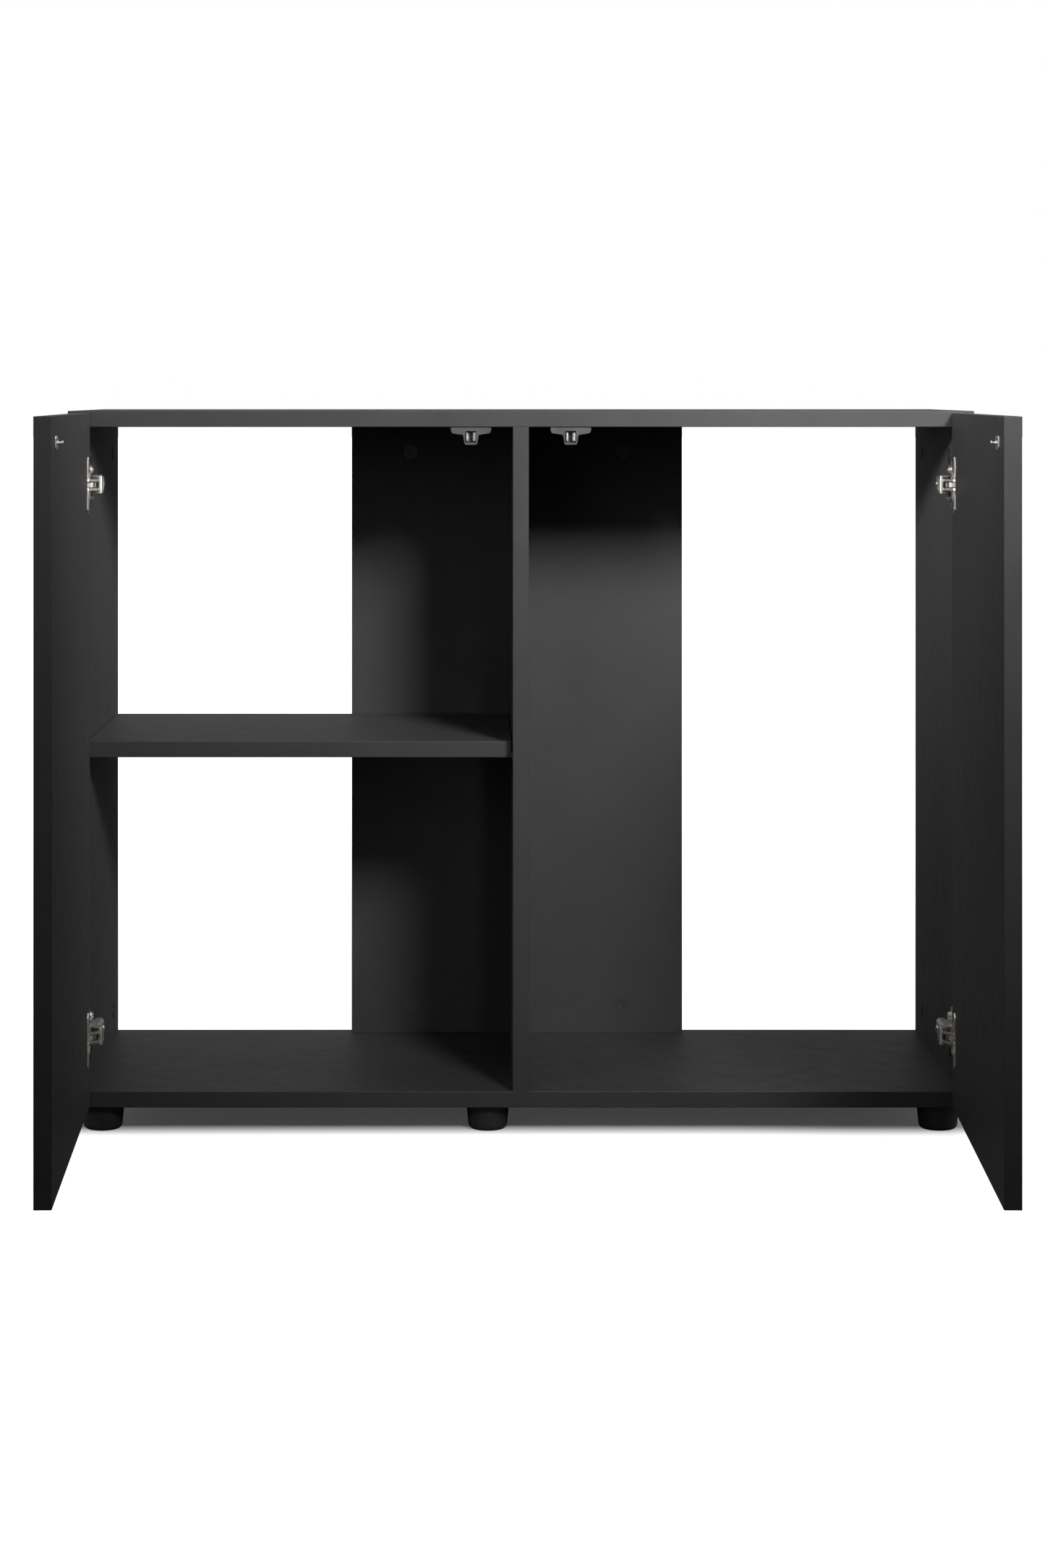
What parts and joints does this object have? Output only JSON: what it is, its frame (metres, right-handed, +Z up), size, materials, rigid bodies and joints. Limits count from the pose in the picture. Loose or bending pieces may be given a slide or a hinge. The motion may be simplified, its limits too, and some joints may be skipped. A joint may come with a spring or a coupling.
{
  "type": "aquarium stand cabinet",
  "caption": "Low black two-door cabinet on feet that carries an aquarium on its flat top, with a divided storage space, a shelf, cup hinges and push-to-open latches.",
  "frame": {"origin": "centre of the tank-bearing top face", "axes": "+Z up, +X to the viewer's right along the width, doors facing -Y; drawn with both doors standing open at 88 degrees"},
  "size_m": [1.015, 0.8923, 0.81],
  "materials": {
    "black_board": "matt black melamine over particle board, black edge strip",
    "black_plastic": "satin moulded plastic",
    "foot_plastic": "slightly glossy moulded plastic",
    "nickel_steel": "nickel plated pressed steel",
    "bright_zinc": "bright zinc",
    "cam_black": "black moulded cam",
    "beech": "bare beech"
  },
  "bodies": {
    "carcass": {"top_panel": "black_board", "bottom_panel": "black_board", "left_side_panel": "black_board", "right_side_panel": "black_board", "centre_divider": "black_board", "back_panel": "black_board", "shelf": "black_board", "shelf_pins": "nickel_steel", "cam_bolts": "bright_zinc", "wooden_dowels": "beech", "cam_locks": "cam_black", "front_left_foot": "foot_plastic", "front_centre_foot": "foot_plastic", "front_right_foot": "foot_plastic", "rear_left_foot": "foot_plastic", "rear_centre_foot": "foot_plastic", "rear_right_foot": "foot_plastic", "left_latch_housing": "black_plastic", "right_latch_housing": "black_plastic", "latch_screws": "bright_zinc", "hinge_arm_pins": "nickel_steel", "hinge_plate_screws": "bright_zinc", "hinge_adjusting_screws": "bright_zinc", "latch_springs": "nickel_steel", "left_upper_hinge_plate": "nickel_steel", "left_upper_hinge_arm": "nickel_steel", "left_lower_hinge_plate": "nickel_steel", "left_lower_hinge_arm": "nickel_steel", "right_upper_hinge_plate": "nickel_steel", "right_upper_hinge_arm": "nickel_steel", "right_lower_hinge_plate": "nickel_steel", "right_lower_hinge_arm": "nickel_steel"},
    "left_outer_links": {"left_upper_hinge_outer_link": "nickel_steel", "left_lower_hinge_outer_link": "nickel_steel"},
    "left_inner_links": {"left_upper_hinge_inner_link": "nickel_steel", "left_lower_hinge_inner_link": "nickel_steel"},
    "left_door": {"left_door_panel": "black_board", "left_upper_hinge_cup": "nickel_steel", "left_lower_hinge_cup": "nickel_steel", "left_hinge_cup_screws": "bright_zinc", "left_hinge_cup_pins": "nickel_steel", "left_door_strike": "bright_zinc", "left_strike_screws": "bright_zinc"},
    "left_latch_slider": {"left_latch_slider": "black_plastic"},
    "left_latch_left_jaw": {"left_latch_left_jaw": "bright_zinc"},
    "left_latch_right_jaw": {"left_latch_right_jaw": "bright_zinc"},
    "right_outer_links": {"right_upper_hinge_outer_link": "nickel_steel", "right_lower_hinge_outer_link": "nickel_steel"},
    "right_inner_links": {"right_upper_hinge_inner_link": "nickel_steel", "right_lower_hinge_inner_link": "nickel_steel"},
    "right_door": {"right_door_panel": "black_board", "right_upper_hinge_cup": "nickel_steel", "right_lower_hinge_cup": "nickel_steel", "right_hinge_cup_screws": "bright_zinc", "right_hinge_cup_pins": "nickel_steel", "right_door_strike": "bright_zinc", "right_strike_screws": "bright_zinc"},
    "right_latch_slider": {"right_latch_slider": "black_plastic"},
    "right_latch_left_jaw": {"right_latch_left_jaw": "bright_zinc"},
    "right_latch_right_jaw": {"right_latch_right_jaw": "bright_zinc"}
  },
  "joints": [
    {"name": "left_door_swing", "type": "hinge", "parent": "left_outer_links", "child": "left_door", "pos_m": [-0.48695, -0.20493, -0.391], "axis": [0, 0, -1], "range_deg": [-120.74, 9.6]},
    {"name": "left_outer_link_turn", "type": "hinge", "parent": "carcass", "child": "left_outer_links", "pos_m": [-0.48346, -0.18576, -0.391], "axis": [0, 0, -1], "range_deg": [-2.9, 33.04]},
    {"name": "left_inner_link_turn", "type": "hinge", "parent": "carcass", "child": "left_inner_links", "pos_m": [-0.47034, -0.19202, -0.391], "axis": [0, 0, -1], "range_deg": [-3.45, 39.9]},
    {"name": "left_latch_push", "type": "slide", "parent": "carcass", "child": "left_latch_slider", "axis": [0, 1, 0], "range_m": [0, 0.0025]},
    {"name": "left_latch_left_jaw_turn", "type": "hinge", "parent": "left_latch_slider", "child": "left_latch_left_jaw", "pos_m": [-0.0596, -0.1795, -0.029], "axis": [0, 0, 1], "range_deg": [-0.3, 6.8]},
    {"name": "left_latch_right_jaw_turn", "type": "hinge", "parent": "left_latch_slider", "child": "left_latch_right_jaw", "pos_m": [-0.0524, -0.1795, -0.029], "axis": [0, 0, -1], "range_deg": [-0.3, 6.8]},
    {"name": "right_door_swing", "type": "hinge", "parent": "right_outer_links", "child": "right_door", "pos_m": [0.48695, -0.20493, -0.391], "axis": [0, 0, 1], "range_deg": [-120.74, 9.6]},
    {"name": "right_outer_link_turn", "type": "hinge", "parent": "carcass", "child": "right_outer_links", "pos_m": [0.48346, -0.18576, -0.391], "axis": [0, 0, 1], "range_deg": [-2.9, 33.04]},
    {"name": "right_inner_link_turn", "type": "hinge", "parent": "carcass", "child": "right_inner_links", "pos_m": [0.47034, -0.19202, -0.391], "axis": [0, 0, 1], "range_deg": [-3.45, 39.9]},
    {"name": "right_latch_push", "type": "slide", "parent": "carcass", "child": "right_latch_slider", "axis": [0, 1, 0], "range_m": [0, 0.0025]},
    {"name": "right_latch_left_jaw_turn", "type": "hinge", "parent": "right_latch_slider", "child": "right_latch_left_jaw", "pos_m": [0.0524, -0.1795, -0.029], "axis": [0, 0, 1], "range_deg": [-0.3, 6.8]},
    {"name": "right_latch_right_jaw_turn", "type": "hinge", "parent": "right_latch_slider", "child": "right_latch_right_jaw", "pos_m": [0.0596, -0.1795, -0.029], "axis": [0, 0, -1], "range_deg": [-0.3, 6.8]}
  ],
  "couplings": [
    {"joint": "left_outer_link_turn", "follows": "left_door_swing", "ratio": -0.27114},
    {"joint": "left_inner_link_turn", "follows": "left_door_swing", "ratio": -0.32799},
    {"joint": "left_latch_left_jaw_turn", "follows": "left_latch_push", "rad_per_m": 45.379},
    {"joint": "left_latch_right_jaw_turn", "follows": "left_latch_push", "rad_per_m": 45.379},
    {"joint": "right_outer_link_turn", "follows": "right_door_swing", "ratio": -0.27114},
    {"joint": "right_inner_link_turn", "follows": "right_door_swing", "ratio": -0.32799},
    {"joint": "right_latch_left_jaw_turn", "follows": "right_latch_push", "rad_per_m": 45.379},
    {"joint": "right_latch_right_jaw_turn", "follows": "right_latch_push", "rad_per_m": 45.379}
  ]
}
